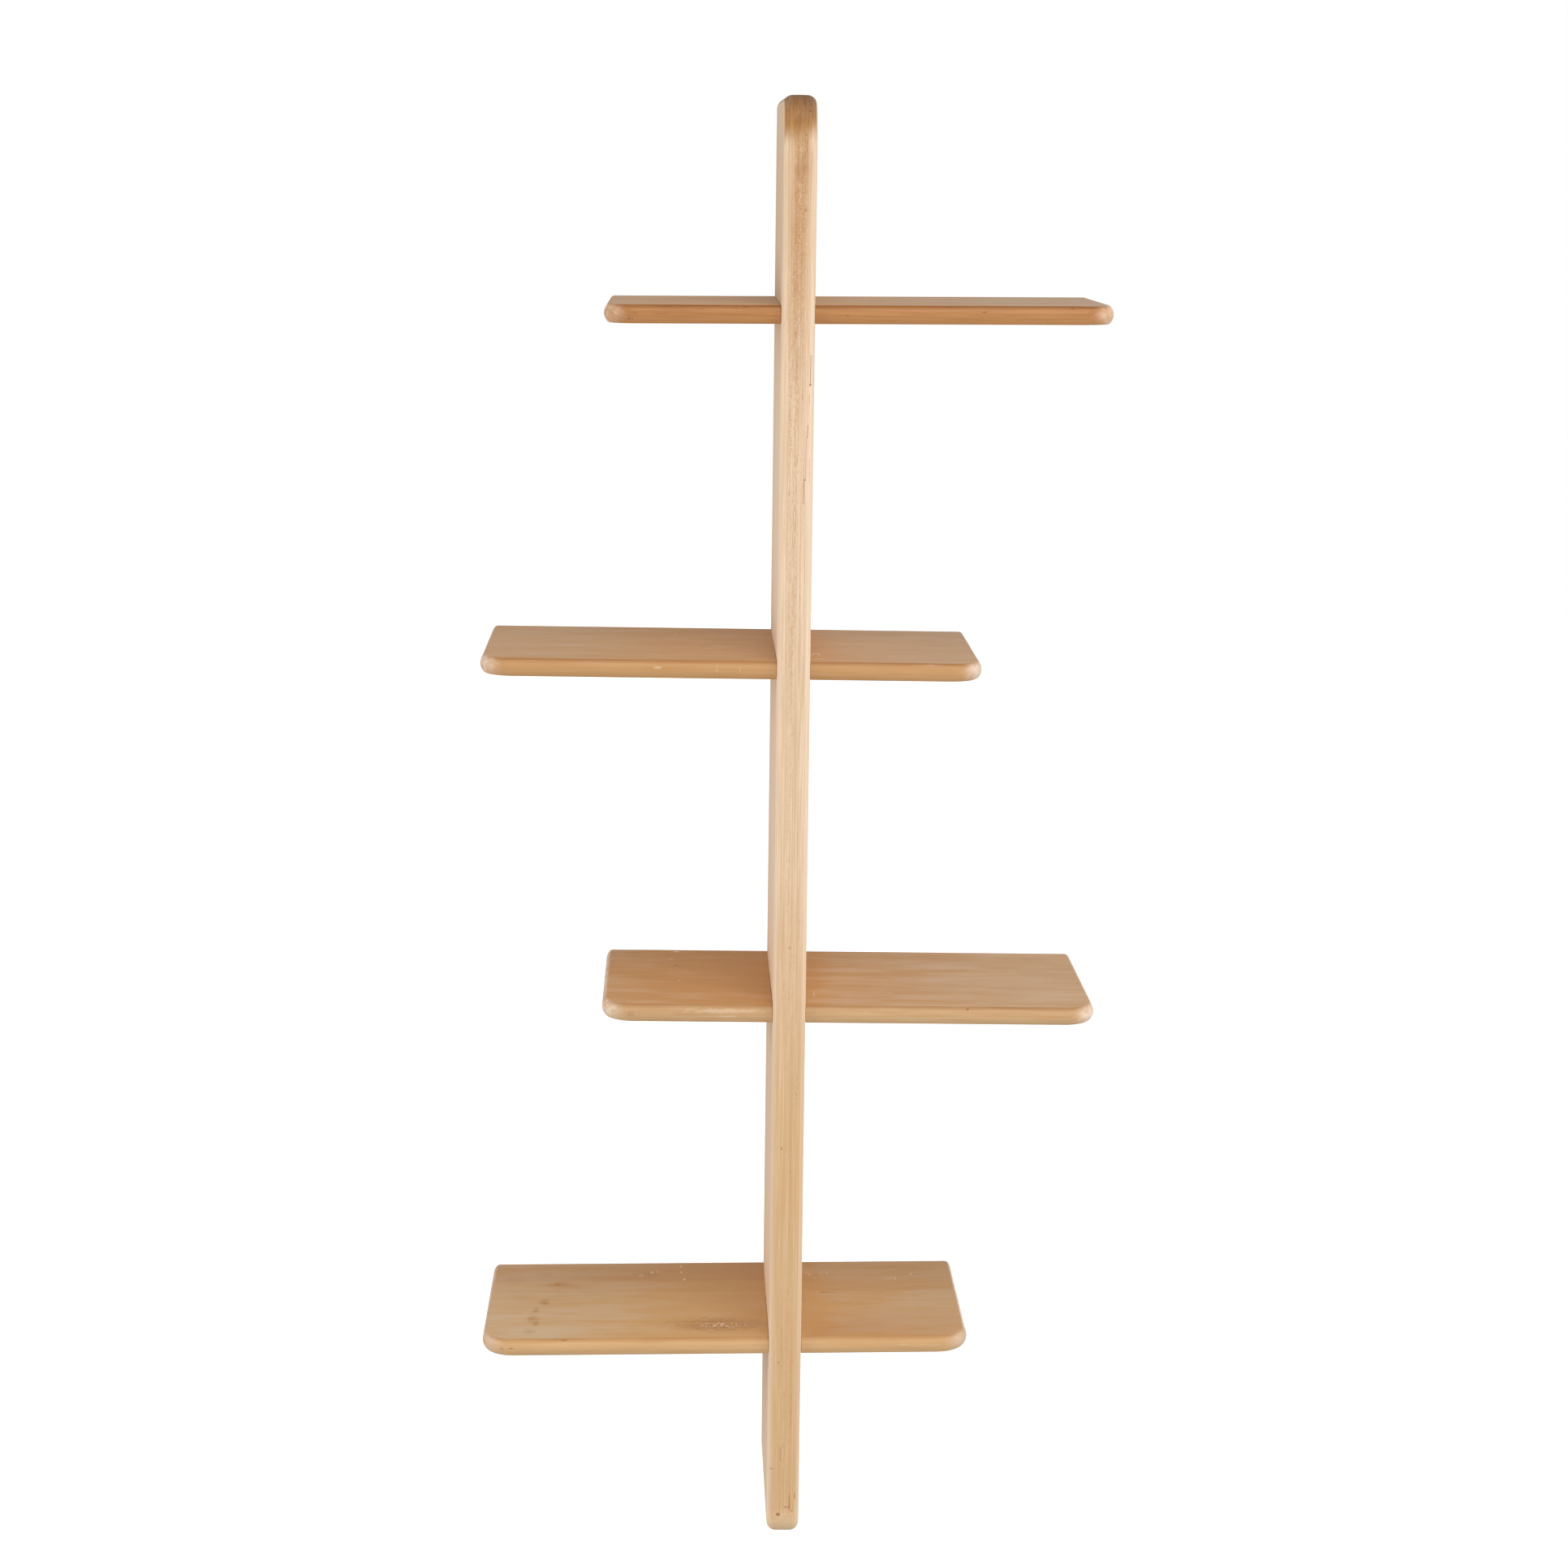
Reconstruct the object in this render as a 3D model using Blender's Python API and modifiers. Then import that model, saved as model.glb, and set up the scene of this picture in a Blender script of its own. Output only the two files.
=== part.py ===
# Wall shelf: four offset boards lapped onto one tall upright.
#
# The upright stands edge-on to the wall and runs past every shelf. Each joint is a
# cross-lap: the upright is slotted from its back edge, the shelf is notched from its
# front edge, and the two slide together until both are flush with the wall. The
# shelves reach out alternately to the right and to the left. Two keyhole plates, let
# into the upright's back edge and screwed down, hang the whole on two wall screws.
#
# Axes: +X to the right along the shelves, +Y into the wall, +Z up. The wall is the
# plane Y = 0, and the origin is the middle of the upright's back edge. Metres.

import math

import bmesh
import bpy
from mathutils import Matrix

# Upright
UPRIGHT_HEIGHT = 1.200
UPRIGHT_DEPTH = 0.210
UPRIGHT_THICKNESS = 0.027
UPRIGHT_TOP_FRONT_RADIUS = 0.026
UPRIGHT_FOOT_FRONT_RADIUS = 0.022
UPRIGHT_BACK_RADIUS = 0.008
UPRIGHT_ROUND_OVER = 0.005

# Shelf boards, all cut alike
SHELF_LENGTH = 0.410
SHELF_THICKNESS = 0.015
SHELF_SETBACK = 0.005
SHELF_FRONT_RADIUS = 0.027
SHELF_BACK_RADIUS = 0.0065
SHELF_ROUND_OVER = 0.005

# Where the shelves sit: heights are from the foot to a board's upper face, and the
# reach is how far a board's middle lies to one side of the upright's middle
LOWEST_SHELF_HEIGHT = 0.176
SHELF_SPACING = 0.2865
SHELF_REACH = 0.050

# Hand-fitted boards are never quite level: the rise to the right, in degrees
SHELF_TOP_LEAN = 0.40
SHELF_UPPER_LEAN = -0.30
SHELF_LOWER_LEAN = -0.25
SHELF_BOTTOM_LEAN = 0.65

# Cross-lap joints
SLOT_DEPTH = 0.1025
JOINT_CLEARANCE = 0.0003

# Keyhole plates and the pockets that take them
PLATE_LENGTH = 0.044
PLATE_WIDTH = 0.014
PLATE_THICKNESS = 0.002
PLATE_SETBACK = 0.0004
PLATE_CLEARANCE = 0.0003
KEYHOLE_RADIUS = 0.0046
KEYHOLE_DROP = 0.004
KEYHOLE_SLOT_WIDTH = 0.0048
KEYHOLE_SLOT_REACH = 0.012
POCKET_WIDTH = 0.0106
POCKET_DEPTH = 0.009
PLATE_BELOW_TOP = 0.082
PLATE_ABOVE_FOOT = 0.080

# Countersunk screws in the plates
SCREW_SPACING = 0.032
SCREW_HEAD_RADIUS = 0.0029
SCREW_SHANK_RADIUS = 0.0015
SCREW_LENGTH = 0.016
SCREW_TIP_LENGTH = 0.004
SCREW_HEAD_SINK = 0.0001
SCREW_CLEARANCE = 0.0003

# Mesh fineness
CORNER_SEGMENTS = 10
SMALL_CORNER_SEGMENTS = 5
ROUND_OVER_SEGMENTS = 5
STADIUM_SEGMENTS = 6
TURNED_STEPS = 20
NEARLY_ROUND = 0.999
OVERCUT = 0.010
SMOOTH_ANGLE = math.radians(35)
MERGE_DISTANCE = 0.00005
LEVEL_TOLERANCE = 0.000001
BROAD_FACE_LIMIT = 0.9

# Sizes and angles that follow
QUARTER_TURN = math.pi / 2
SHELF_DEPTH = UPRIGHT_DEPTH - SHELF_SETBACK
FOOT_Z = -UPRIGHT_HEIGHT / 2
TOP_Z = UPRIGHT_HEIGHT / 2

# Name, steps above the lowest shelf, side it reaches to and its lean
SHELVES = (
    ("shelf_top", 3, 1, SHELF_TOP_LEAN),
    ("shelf_upper", 2, -1, SHELF_UPPER_LEAN),
    ("shelf_lower", 1, 1, SHELF_LOWER_LEAN),
    ("shelf_bottom", 0, -1, SHELF_BOTTOM_LEAN),
)

# Name of the plate and the height of its middle
HANGERS = (
    ("top", TOP_Z - PLATE_BELOW_TOP),
    ("foot", FOOT_Z + PLATE_ABOVE_FOOT),
)

# Colour, roughness and metallic value of each piece
UPRIGHT_WOOD = ((0.72, 0.50, 0.31), 0.50, 0.0)
SHELF_WOODS = {
    "shelf_top": ((0.56, 0.32, 0.15), 0.45, 0.0),
    "shelf_upper": ((0.60, 0.36, 0.18), 0.45, 0.0),
    "shelf_lower": ((0.62, 0.38, 0.20), 0.45, 0.0),
    "shelf_bottom": ((0.64, 0.40, 0.21), 0.45, 0.0),
}
PLATE_METAL = ((0.62, 0.60, 0.55), 0.35, 1.0)
SCREW_METAL = ((0.68, 0.66, 0.60), 0.30, 1.0)

PARTS = "wall_shelf"
CUTTERS = "cutters"


# Scene and small helpers

def clear_scene():
    for item in list(bpy.data.objects):
        bpy.data.objects.remove(item, do_unlink=True)


def collection(name):
    made = bpy.data.collections.new(name)
    bpy.context.scene.collection.children.link(made)
    return made


def add_object(name, data, group):
    made = bpy.data.objects.new(name, data)
    bpy.data.collections[group].objects.link(made)
    if group == CUTTERS:
        made.hide_render = True
        made.display_type = "WIRE"
    return made


def place(item, location, rotation=(0.0, 0.0, 0.0), parent=None):
    item.location = location
    item.rotation_euler = rotation
    item.parent = parent


def finish(item, look):
    colour, roughness, metallic = look
    material = bpy.data.materials.new(item.name)
    material.use_nodes = True
    shader = material.node_tree.nodes["Principled BSDF"]
    shader.inputs["Base Color"].default_value = (*colour, 1.0)
    shader.inputs["Roughness"].default_value = roughness
    shader.inputs["Metallic"].default_value = metallic
    item.data.materials.append(material)
    item.data.shade_smooth()
    item.data.set_sharp_from_angle(angle=SMOOTH_ANGLE)


def cut(item, cutter):
    boolean = item.modifiers.new(cutter.name, "BOOLEAN")
    boolean.operation = "DIFFERENCE"
    boolean.solver = "EXACT"
    boolean.object = cutter


def block(name, low, high):
    """A box cutter between two corners."""
    size = [b - a for a, b in zip(low, high)]
    middle = [(a + b) / 2 for a, b in zip(low, high)]
    mesh = bpy.data.meshes.new(name)
    bm = bmesh.new()
    bmesh.ops.create_cube(bm, size=1.0, matrix=Matrix.Translation(middle) @ Matrix.Diagonal((*size, 1.0)))
    bm.to_mesh(mesh)
    bm.free()
    return add_object(name, mesh, CUTTERS)


def bevel(bm, edges, radius, segments):
    bmesh.ops.bevel(
        bm,
        geom=edges,
        offset=radius,
        offset_type="OFFSET",
        affect="EDGES",
        segments=segments,
        profile=0.5,
        material=-1,
    )


def corner_edge(bm, along, across):
    """The upright edge of a board that lies furthest towards one corner."""
    uprights = [e for e in bm.edges if abs(e.verts[0].co.z - e.verts[1].co.z) > LEVEL_TOLERANCE]
    return max(uprights, key=lambda e: along * e.verts[0].co.x + across * e.verts[0].co.y)


def rim_edges(bm):
    """The edges round a board's two broad faces."""
    bm.normal_update()
    broad = [f for f in bm.faces if abs(f.normal.z) > BROAD_FACE_LIMIT]
    return list({e for f in broad for e in f.edges})


def board(name, size, corners, round_over, group=PARTS):
    """A board lying flat: its length runs along X, and its back edge lies on Y = 0.

    size is (length, depth, thickness). corners holds (end, side, radius, segments),
    where end is -1 or 1 along X, and side is -1 for the front and 1 for the back.
    round_over is the (radius, segments) of the edges round both broad faces, or None.
    """
    bm = bmesh.new()
    middle = Matrix.Translation((0.0, -size[1] / 2, 0.0))
    bmesh.ops.create_cube(bm, size=1.0, matrix=middle @ Matrix.Diagonal((*size, 1.0)))
    for end, side, radius, segments in corners:
        bevel(bm, [corner_edge(bm, end, side)], radius, segments)
    if round_over:
        bevel(bm, rim_edges(bm), *round_over)
    mesh = bpy.data.meshes.new(name)
    bm.to_mesh(mesh)
    bm.free()
    return add_object(name, mesh, group)


def stadium(name, length, width, thickness, group=CUTTERS):
    """A slab with two round ends, its length along X and its middle at the origin."""
    radius = width / 2 * NEARLY_ROUND
    corners = [(end, side, radius, STADIUM_SEGMENTS) for end in (-1, 1) for side in (-1, 1)]
    slab = board(name, (length, width, thickness), corners, None, group)
    slab.data.transform(Matrix.Translation((0.0, width / 2, 0.0)))
    return slab


def turned(name, profile, group):
    """A profile of (radius, height) points, top to bottom, spun about Z."""
    mesh = bpy.data.meshes.new(name)
    points = [(radius, 0.0, height) for radius, height in profile]
    mesh.from_pydata(points, [(i, i + 1) for i in range(len(points) - 1)], [])
    item = add_object(name, mesh, group)
    spin = item.modifiers.new("spin", "SCREW")
    spin.axis = "Z"
    spin.angle = math.tau
    spin.steps = TURNED_STEPS
    spin.render_steps = TURNED_STEPS
    spin.use_merge_vertices = True
    spin.merge_threshold = MERGE_DISTANCE
    return item


# Wooden parts

def make_upright():
    front, back = -1, 1
    foot, top = -1, 1
    corners = (
        (top, front, UPRIGHT_TOP_FRONT_RADIUS, CORNER_SEGMENTS),
        (foot, front, UPRIGHT_FOOT_FRONT_RADIUS, CORNER_SEGMENTS),
        (top, back, UPRIGHT_BACK_RADIUS, SMALL_CORNER_SEGMENTS),
        (foot, back, UPRIGHT_BACK_RADIUS, SMALL_CORNER_SEGMENTS),
    )
    size = (UPRIGHT_HEIGHT, UPRIGHT_DEPTH, UPRIGHT_THICKNESS)
    upright = board("upright", size, corners, (UPRIGHT_ROUND_OVER, ROUND_OVER_SEGMENTS))
    # The board is turned on its edge: its length now runs up
    upright.data.transform(Matrix.Rotation(-QUARTER_TURN, 4, "Y"))
    finish(upright, UPRIGHT_WOOD)
    return upright


def make_shelf(name, steps, side, lean, upright):
    """One shelf, its notch and the upright's slot for it, all on one empty."""
    upper_face = FOOT_Z + LOWEST_SHELF_HEIGHT + steps * SHELF_SPACING
    seat = add_object(name + "_seat", None, PARTS)
    place(seat, (0.0, 0.0, upper_face - SHELF_THICKNESS / 2), (0.0, -math.radians(lean), 0.0))

    front, back = -1, 1
    corners = [(end, front, SHELF_FRONT_RADIUS, CORNER_SEGMENTS) for end in (-1, 1)]
    corners += [(end, back, SHELF_BACK_RADIUS, SMALL_CORNER_SEGMENTS) for end in (-1, 1)]
    size = (SHELF_LENGTH, SHELF_DEPTH, SHELF_THICKNESS)
    shelf = board(name, size, corners, (SHELF_ROUND_OVER, ROUND_OVER_SEGMENTS))
    place(shelf, (side * SHELF_REACH, 0.0, 0.0), parent=seat)
    finish(shelf, SHELF_WOODS[name])

    # The shelf's notch is as wide as the upright and square to it
    half_notch = UPRIGHT_THICKNESS / 2 + JOINT_CLEARANCE
    notch_end = -(SLOT_DEPTH - JOINT_CLEARANCE)
    notch = block(
        name + "_notch",
        (-half_notch, -SHELF_DEPTH - OVERCUT, -SHELF_THICKNESS - OVERCUT),
        (half_notch, notch_end, SHELF_THICKNESS + OVERCUT),
    )
    place(notch, seat.location)
    cut(shelf, notch)

    # The upright's slot is as high as the shelf and leans with it
    half_slot = SHELF_THICKNESS / 2 + JOINT_CLEARANCE
    slot = block(
        name + "_slot",
        (-UPRIGHT_THICKNESS, -SLOT_DEPTH, -half_slot),
        (UPRIGHT_THICKNESS, OVERCUT, half_slot),
    )
    place(slot, (0.0, 0.0, 0.0), parent=seat)
    cut(upright, slot)
    return shelf


# Hanging plates and their screws

def screw_profile(clearance=0.0, above=0.0):
    """A countersunk screw from its flat head down to its tip, or the hole for it."""
    head = SCREW_HEAD_RADIUS + clearance
    shank = SCREW_SHANK_RADIUS + clearance
    neck = -(SCREW_HEAD_RADIUS - SCREW_SHANK_RADIUS)
    end = -SCREW_LENGTH - clearance
    profile = [(0.0, above), (head, above)]
    if above:
        profile.append((head, 0.0))
    profile += [(shank, neck), (shank, end + SCREW_TIP_LENGTH), (0.0, end)]
    return profile


def make_hanger(label, height, upright):
    """A keyhole plate, its two screws, and the pockets they need in the upright."""
    along_edge = (-QUARTER_TURN, -QUARTER_TURN, 0.0)
    into_wood = (-QUARTER_TURN, 0.0, 0.0)
    mid_plate = -PLATE_SETBACK - PLATE_THICKNESS / 2

    plate = stadium("hanger_plate_" + label, PLATE_LENGTH, PLATE_WIDTH, PLATE_THICKNESS, PARTS)
    place(plate, (0.0, mid_plate, height), along_edge)
    finish(plate, PLATE_METAL)

    # A recess of the plate's own outline lets it in flush
    recess_floor = PLATE_SETBACK + PLATE_THICKNESS + PLATE_CLEARANCE
    recess = stadium(
        "plate_recess_" + label,
        PLATE_LENGTH + 2 * PLATE_CLEARANCE,
        PLATE_WIDTH + 2 * PLATE_CLEARANCE,
        recess_floor + OVERCUT,
    )
    place(recess, (0.0, (OVERCUT - recess_floor) / 2, height), along_edge)
    cut(upright, recess)

    # The keyhole: a round hole for the wall screw's head, and a slot up to where it hangs
    hole_height = height - KEYHOLE_DROP
    slot_top = hole_height + KEYHOLE_SLOT_REACH
    ends = (OVERCUT, -OVERCUT)
    wall = [(KEYHOLE_RADIUS, end) for end in ends]
    hole = turned("keyhole_" + label, [(0.0, ends[0]), *wall, (0.0, ends[1])], CUTTERS)
    place(hole, (0.0, mid_plate, hole_height), into_wood)
    cut(plate, hole)
    slot_length = KEYHOLE_SLOT_REACH + KEYHOLE_SLOT_WIDTH / 2
    slot = stadium("keyhole_slot_" + label, slot_length, KEYHOLE_SLOT_WIDTH, OVERCUT)
    place(slot, (0.0, mid_plate, slot_top - slot_length / 2), along_edge)
    cut(plate, slot)

    # Room behind the plate for the wall screw's head
    rest_height = slot_top - KEYHOLE_SLOT_WIDTH / 2
    pocket_length = rest_height - hole_height + POCKET_WIDTH
    pocket_middle = (hole_height + rest_height) / 2
    pocket = stadium("pocket_" + label, pocket_length, POCKET_WIDTH, POCKET_DEPTH + OVERCUT)
    place(pocket, (0.0, -recess_floor + (OVERCUT - POCKET_DEPTH) / 2, pocket_middle), along_edge)
    cut(upright, pocket)

    # Screws above and below the keyhole
    screw_face = -PLATE_SETBACK - SCREW_HEAD_SINK
    for where, step in (("upper", 0.5), ("lower", -0.5)):
        spot = (0.0, screw_face, height + step * SCREW_SPACING)
        screw = turned(f"screw_{label}_{where}", screw_profile(), PARTS)
        place(screw, spot, into_wood)
        finish(screw, SCREW_METAL)
        hole = turned(f"screw_hole_{label}_{where}", screw_profile(SCREW_CLEARANCE, OVERCUT), CUTTERS)
        place(hole, spot, into_wood)
        cut(plate, hole)
        cut(upright, hole)


def main():
    clear_scene()
    collection(PARTS)
    collection(CUTTERS)
    upright = make_upright()
    for name, steps, side, lean in SHELVES:
        make_shelf(name, steps, side, lean, upright)
    for label, height in HANGERS:
        make_hanger(label, height, upright)
    bpy.context.view_layer.update()


main()
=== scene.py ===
# %% [markdown]
# # A wall shelf of solid wood
#
# This lesson dresses a wall shelf: one tall board stands edge-on to the wall, and four
# shorter ones cross it on lap joints, reaching right and left in turn. The solids come
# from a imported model, so every size is settled before the first line here. What is left
# is the craft: crisp joints, edges that a hand has rounded, and wood that looks sawn
# from a tree and not printed on.
#
# Everything is in metres. X runs along the shelves, Y runs into the wall, Z is up, and
# the wall is the plane Y = 0.

# %% Load the frame
import math

import bmesh
import bpy
from mathutils import Matrix, Vector


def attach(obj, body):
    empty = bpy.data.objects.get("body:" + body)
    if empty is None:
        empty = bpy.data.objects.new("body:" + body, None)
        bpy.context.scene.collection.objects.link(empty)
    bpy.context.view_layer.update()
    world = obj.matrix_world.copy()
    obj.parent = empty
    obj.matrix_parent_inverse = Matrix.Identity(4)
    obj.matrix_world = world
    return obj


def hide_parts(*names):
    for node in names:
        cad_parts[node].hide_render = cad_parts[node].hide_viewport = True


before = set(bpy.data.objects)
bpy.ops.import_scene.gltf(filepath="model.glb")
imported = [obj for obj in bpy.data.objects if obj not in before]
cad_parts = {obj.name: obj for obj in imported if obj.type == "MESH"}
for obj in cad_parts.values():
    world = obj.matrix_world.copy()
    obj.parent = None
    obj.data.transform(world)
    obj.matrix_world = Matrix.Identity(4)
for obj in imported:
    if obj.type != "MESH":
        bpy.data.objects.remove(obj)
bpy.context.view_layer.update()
print("frame:", sorted(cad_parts))

# %% [markdown]
# ## The camera
#
# The photograph was taken from a little left of the upright, with the lens just above the
# top shelf and tipped ten degrees down. A long lens some three metres away keeps the
# boards nearly parallel. The camera's three axes are worked out from its turn, tilt and
# lean, and they become the columns of its matrix.

# %% Camera
CAMERA_PLACE = Vector((-0.091, -2.9253, 0.5379))
CAMERA_TURN = math.radians(1.7765)
CAMERA_TILT = math.radians(-10.1921)
CAMERA_LEAN = math.radians(0.7159)
IMAGE_SIZE = 1932
FOCAL_PIXELS = 4178.99
SENSOR = 36.0


def camera_matrix(place, turn, tilt, lean):
    ahead = Vector((math.sin(turn) * math.cos(tilt), math.cos(turn) * math.cos(tilt), math.sin(tilt)))
    level = Vector((math.cos(turn), -math.sin(turn), 0.0))
    above = level.cross(ahead)
    right = level * math.cos(lean) + above * math.sin(lean)
    up = above * math.cos(lean) - level * math.sin(lean)
    matrix = Matrix((right, up, -ahead)).transposed().to_4x4()
    matrix.translation = place
    return matrix


camera_data = bpy.data.cameras.new("camera")
camera_data.sensor_width = SENSOR
camera_data.lens = FOCAL_PIXELS * SENSOR / IMAGE_SIZE
camera = bpy.data.objects.new("camera", camera_data)
bpy.context.scene.collection.objects.link(camera)
camera.matrix_world = camera_matrix(CAMERA_PLACE, CAMERA_TURN, CAMERA_TILT, CAMERA_LEAN)
bpy.context.scene.camera = camera
print("lens:", round(camera_data.lens, 2), "mm")

# %% [markdown]
# ## Shader sums in plain Python
#
# A wood material is mostly arithmetic on positions: how far a point lies from the heart
# of the tree, which ring that is, how stretched the fibres are. Wrapping a socket in a
# small class lets those sums be written as sums. Every other node is made by one method.

# %% A socket that can be calculated with
class Strand:
    """An output socket of a material's nodes that takes part in sums."""

    def __init__(self, tree, socket):
        self.tree = tree
        self.socket = socket

    def node(self, kind, settings=None, sockets=None, output=0):
        made = self.tree.nodes.new(kind)
        for name, value in (settings or {}).items():
            setattr(made, name, value)
        for name, value in (sockets or {}).items():
            if isinstance(value, Strand):
                self.tree.links.new(value.socket, made.inputs[name])
            else:
                made.inputs[name].default_value = value
        return Strand(self.tree, made.outputs[output])

    def sum(self, operation, first, second=0.0):
        return self.node("ShaderNodeMath", {"operation": operation}, {0: first, 1: second})

    def __add__(self, other):
        return self.sum("ADD", self, other)

    def __sub__(self, other):
        return self.sum("SUBTRACT", self, other)

    def __rsub__(self, other):
        return self.sum("SUBTRACT", other, self)

    def __mul__(self, other):
        return self.sum("MULTIPLY", self, other)

    def __truediv__(self, other):
        return self.sum("DIVIDE", self, other)

    def __pow__(self, other):
        return self.sum("POWER", self, other)

    def __abs__(self):
        return self.sum("ABSOLUTE", self)

    __radd__ = __add__
    __rmul__ = __mul__

    def between(self, low, high):
        """0 at low, 1 at high, and a smooth rise from one to the other."""
        return self.node(
            "ShaderNodeMapRange",
            {"interpolation_type": "SMOOTHSTEP"},
            {"Value": self, "From Min": low, "From Max": high},
        )

    def parts(self):
        """The X, Y and Z of a vector."""
        outputs = self.node("ShaderNodeSeparateXYZ", None, {0: self}).socket.node.outputs
        return [Strand(self.tree, outputs[axis]) for axis in range(3)]

    def clamped(self):
        """This value, kept from 0 to 1."""
        return self.node("ShaderNodeClamp", None, {"Value": self})

    def noise(self, scales, seed, detail=2.0, roughness=0.5):
        """Noise from 0 to 1 on a vector that is scaled along each axis first."""
        shift = (seed, seed * 0.7, -seed)
        spot = self.node("ShaderNodeMapping", None, {"Vector": self, "Scale": scales, "Location": shift})
        sockets = {"Vector": spot, "Scale": 1.0, "Detail": detail, "Roughness": roughness}
        return self.node("ShaderNodeTexNoise", None, sockets)

    def mix(self, first, second):
        """The colour first where this is 0, and second where it is 1."""
        sockets = {0: self, 6: first, 7: second}
        return self.node("ShaderNodeMix", {"data_type": "RGBA"}, sockets, output=2)


def colour(red, green, blue):
    """A display colour from 0 to 255 as the linear values that shaders use."""
    def linear(value):
        share = value / 255
        return share / 12.92 if share <= 0.04045 else ((share + 0.055) / 1.055) ** 2.4
    return (linear(red), linear(green), linear(blue), 1.0)


def new_material(name):
    """A material, its shader node, and its object coordinates as a strand."""
    material = bpy.data.materials.new(name)
    material.use_nodes = True
    tree = material.node_tree
    shader = tree.nodes["Principled BSDF"]
    place = tree.nodes.new("ShaderNodeTexCoord")
    return material, shader, Strand(tree, place.outputs["Object"])


def feed(shader, name, strand):
    strand.tree.links.new(strand.socket, shader.inputs[name])


# %% [markdown]
# ## Wood that is cut from a tree
#
# A board is a slice of a round log, so its pattern is solid: growth rings are cylinders
# round the pith, and each face of the board shows where it cuts them. Long faces show
# near-straight lines and, where the cut grazes a ring, arches. The ends show arcs. Using
# the distance from a slightly tilted pith gives all of that with no painting, and noise
# that is stretched along the board adds fibres, pores and slow changes of tone.
#
# The pattern is written once, in the board's own directions: u along it, v into the
# wall and w through its thickness. The upright is the same board stood on end.

# %% A board's own directions
def board_space(place, turn, seat=0.0):
    """Object coordinates turned into those of a board that is turned about Y."""
    lift = Matrix.Rotation(turn, 3, "Y") @ Vector((0.0, 0.0, seat))
    sockets = {"Vector": place, "Rotation": (0.0, turn, 0.0), "Location": tuple(-lift)}
    return place.node("ShaderNodeMapping", None, sockets)


def facing(place):
    """How far the surface faces along X, Y and Z."""
    return place.node("ShaderNodeNewGeometry", output=1).parts()


# %% Growth rings, fibres and pores
# Each row: the noise's scale along u, v and w, its seed's shift, detail and roughness.
GRAIN_NOISE = {
    "fibres": ((30.0, 1150.0, 1150.0), 11.0, 2.0, 0.5),
    "pores": ((200.0, 2600.0, 2600.0), 13.0, 2.0, 0.5),
    "streaks": ((4.0, 380.0, 380.0), 17.0, 3.0, 0.6),
    "clouds": ((9.0, 34.0, 34.0), 19.0, 2.0, 0.5),
    "patches": ((22.0, 240.0, 240.0), 21.0, 2.0, 0.5),
    "flecks": ((1300.0, 1900.0, 1900.0), 23.0, 1.0, 0.5),
    "threads": ((8.0, 900.0, 900.0), 31.0, 2.0, 0.6),
    "dashes": ((240.0, 1300.0, 1300.0), 47.0, 2.0, 0.5),
    "bands": ((15.0, 60.0, 60.0), 37.0, 3.0, 0.6),
    "dots": ((480.0, 170.0, 170.0), 43.0, 2.0, 0.5),
    "wobble": ((170.0, 520.0, 520.0), 29.0, 2.0, 0.5),
}
RING_WANDER = 0.030
RING_RIPPLE = 0.0016


def growth_rings(space, seed, pith, tilt, ring_width):
    """Late wood round a pith that starts at (v, w) and tilts as u grows."""
    u, v, w = space.parts()
    wander = space.noise((1.6, 7.0, 7.0), seed) - 0.5
    ripple = space.noise((9.0, 70.0, 70.0), seed + 3.0) - 0.5
    across = v - pith[0] - u * tilt[0]
    through = w - pith[1] - u * tilt[1]
    radius = (across * across + through * through) ** 0.5
    turns = (radius + wander * RING_WANDER + ripple * RING_RIPPLE) / ring_width
    ring = turns.sum("FRACT", turns)
    late = ring.between(0.30, 0.95) * ring.between(1.0, 0.96)
    strength = space.noise((2.0, 30.0, 30.0), seed + 7.0).between(0.30, 0.70)
    return late * (strength * 0.7 + 0.3)


def wood_grain(space, seed, pith, tilt, ring_width):
    """Masks from 0 to 1 that every wooden surface shares, and a wobble round 0."""
    grain = {
        name: space.noise(scales, seed + shift, detail, roughness)
        for name, (scales, shift, detail, roughness) in GRAIN_NOISE.items()
    }
    grain["rings"] = growth_rings(space, seed, pith, tilt, ring_width)
    grain["pores"] = grain["pores"].between(0.66, 0.80)
    grain["dots"] = grain["dots"].between(0.50, 0.60)
    grain["wobble"] = (grain["wobble"] - 0.5) * 1.3
    return grain


# %% Wax
WAX_IOR = 1.32
RELIEF_STRENGTH = 0.3
RELIEF_DEPTH = 0.0002


def wax(shader, space, grain, roughness):
    """A thin wax: fibres change its gloss a little, and the pores are sunk."""
    feed(shader, "Roughness", grain["fibres"] * 0.14 + roughness)
    relief = grain["fibres"] * 0.5 - grain["pores"] * 0.5
    sockets = {"Height": relief, "Strength": RELIEF_STRENGTH, "Distance": RELIEF_DEPTH}
    feed(shader, "Normal", space.node("ShaderNodeBump", None, sockets))
    shader.inputs["IOR"].default_value = WAX_IOR


# %% [markdown]
# ## Marks
#
# Real boards carry knots, checks, chips and scuffs. Each one here is an ellipsoid in the
# board's directions, with a soft and ragged edge. Some are broken up into flecks. A thin
# line, such as a glue joint that has opened, runs between two heights at a given place.

# %% Marks
DARK_MARK = colour(122, 72, 40)
BROWN_MARK = colour(156, 98, 50)
PALE_MARK = colour(238, 216, 190)
STAIN = colour(178, 122, 54)
LINE_BROWN = colour(134, 78, 48)
LINE_TAPER = 0.0008
LINE_BACK = -0.2040
LINE_FRONT = -0.2060


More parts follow.
